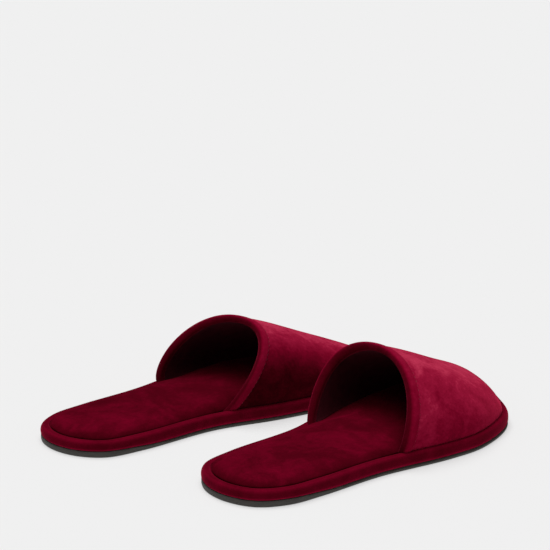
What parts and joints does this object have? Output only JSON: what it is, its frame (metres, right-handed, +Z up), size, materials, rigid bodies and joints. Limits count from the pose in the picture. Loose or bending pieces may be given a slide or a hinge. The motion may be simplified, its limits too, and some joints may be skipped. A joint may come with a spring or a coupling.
{
  "type": "spa slippers",
  "caption": "Pair of closed-toe, open-back velvet spa slippers with padded footbeds, bound toplines and flat rubber outsoles that flex under the instep.",
  "frame": {"origin": "middle of the pair's footprint, on the floor", "axes": "+Z up, +Y towards the toes along the pair, +X to the wearer's right"},
  "size_m": [0.2242, 0.2754, 0.0598],
  "materials": {
    "velvet": "crimson velvet with a short brushed pile and a soft sheen",
    "footbed_velvet": "crimson velvet, padded, with a brushed nap",
    "binding": "velvet band folded over the topline",
    "lining": "dark red brushed lining cloth",
    "thread": "twisted polyester sewing thread, matt",
    "foam": "open-cell padding and sole foam",
    "fibreboard": "pressed cellulose insole board",
    "outsole_rubber": "matt grey-brown sole rubber with a fine tread"
  },
  "bodies": {
    "left_front": {"left_outsole_front": "outsole_rubber", "left_midsole_front": "foam", "left_rim_cover_front": "velvet", "left_insole_board_front": "fibreboard", "left_footbed_foam_front": "foam", "left_footbed_cover_front": "footbed_velvet", "left_upper_velvet": "velvet", "left_upper_padding": "foam", "left_upper_lining": "lining", "left_topline_binding": "binding", "left_topline_stitching": "thread"},
    "left_heel": {"left_outsole_heel": "outsole_rubber", "left_midsole_heel": "foam", "left_rim_cover_heel": "velvet", "left_insole_board_heel": "fibreboard", "left_footbed_foam_heel": "foam", "left_footbed_cover_heel": "footbed_velvet"},
    "right_front": {"right_outsole_front": "outsole_rubber", "right_midsole_front": "foam", "right_rim_cover_front": "velvet", "right_insole_board_front": "fibreboard", "right_footbed_foam_front": "foam", "right_footbed_cover_front": "footbed_velvet", "right_upper_velvet": "velvet", "right_upper_padding": "foam", "right_upper_lining": "lining", "right_topline_binding": "binding", "right_topline_stitching": "thread"},
    "right_heel": {"right_outsole_heel": "outsole_rubber", "right_midsole_heel": "foam", "right_rim_cover_heel": "velvet", "right_insole_board_heel": "fibreboard", "right_footbed_foam_heel": "foam", "right_footbed_cover_heel": "footbed_velvet"}
  },
  "joints": [
    {"name": "left_sole_flex", "type": "hinge", "parent": "left_front", "child": "left_heel", "pos_m": [-0.05895, -0.03806, 0.0143], "axis": [-0.9969, 0.0785, 0], "range_deg": [0, 35], "stiffness_Nm_per_rad": 0.6},
    {"name": "right_slipper_slide", "type": "slide", "parent": "left_front", "child": "right_front", "axis": [1, 0, 0], "range_m": [0, 0.12]},
    {"name": "right_sole_flex", "type": "hinge", "parent": "right_front", "child": "right_heel", "pos_m": [0.05895, -0.01726, 0.0143], "axis": [-0.9969, -0.0785, 0], "range_deg": [0, 35], "stiffness_Nm_per_rad": 0.6}
  ]
}
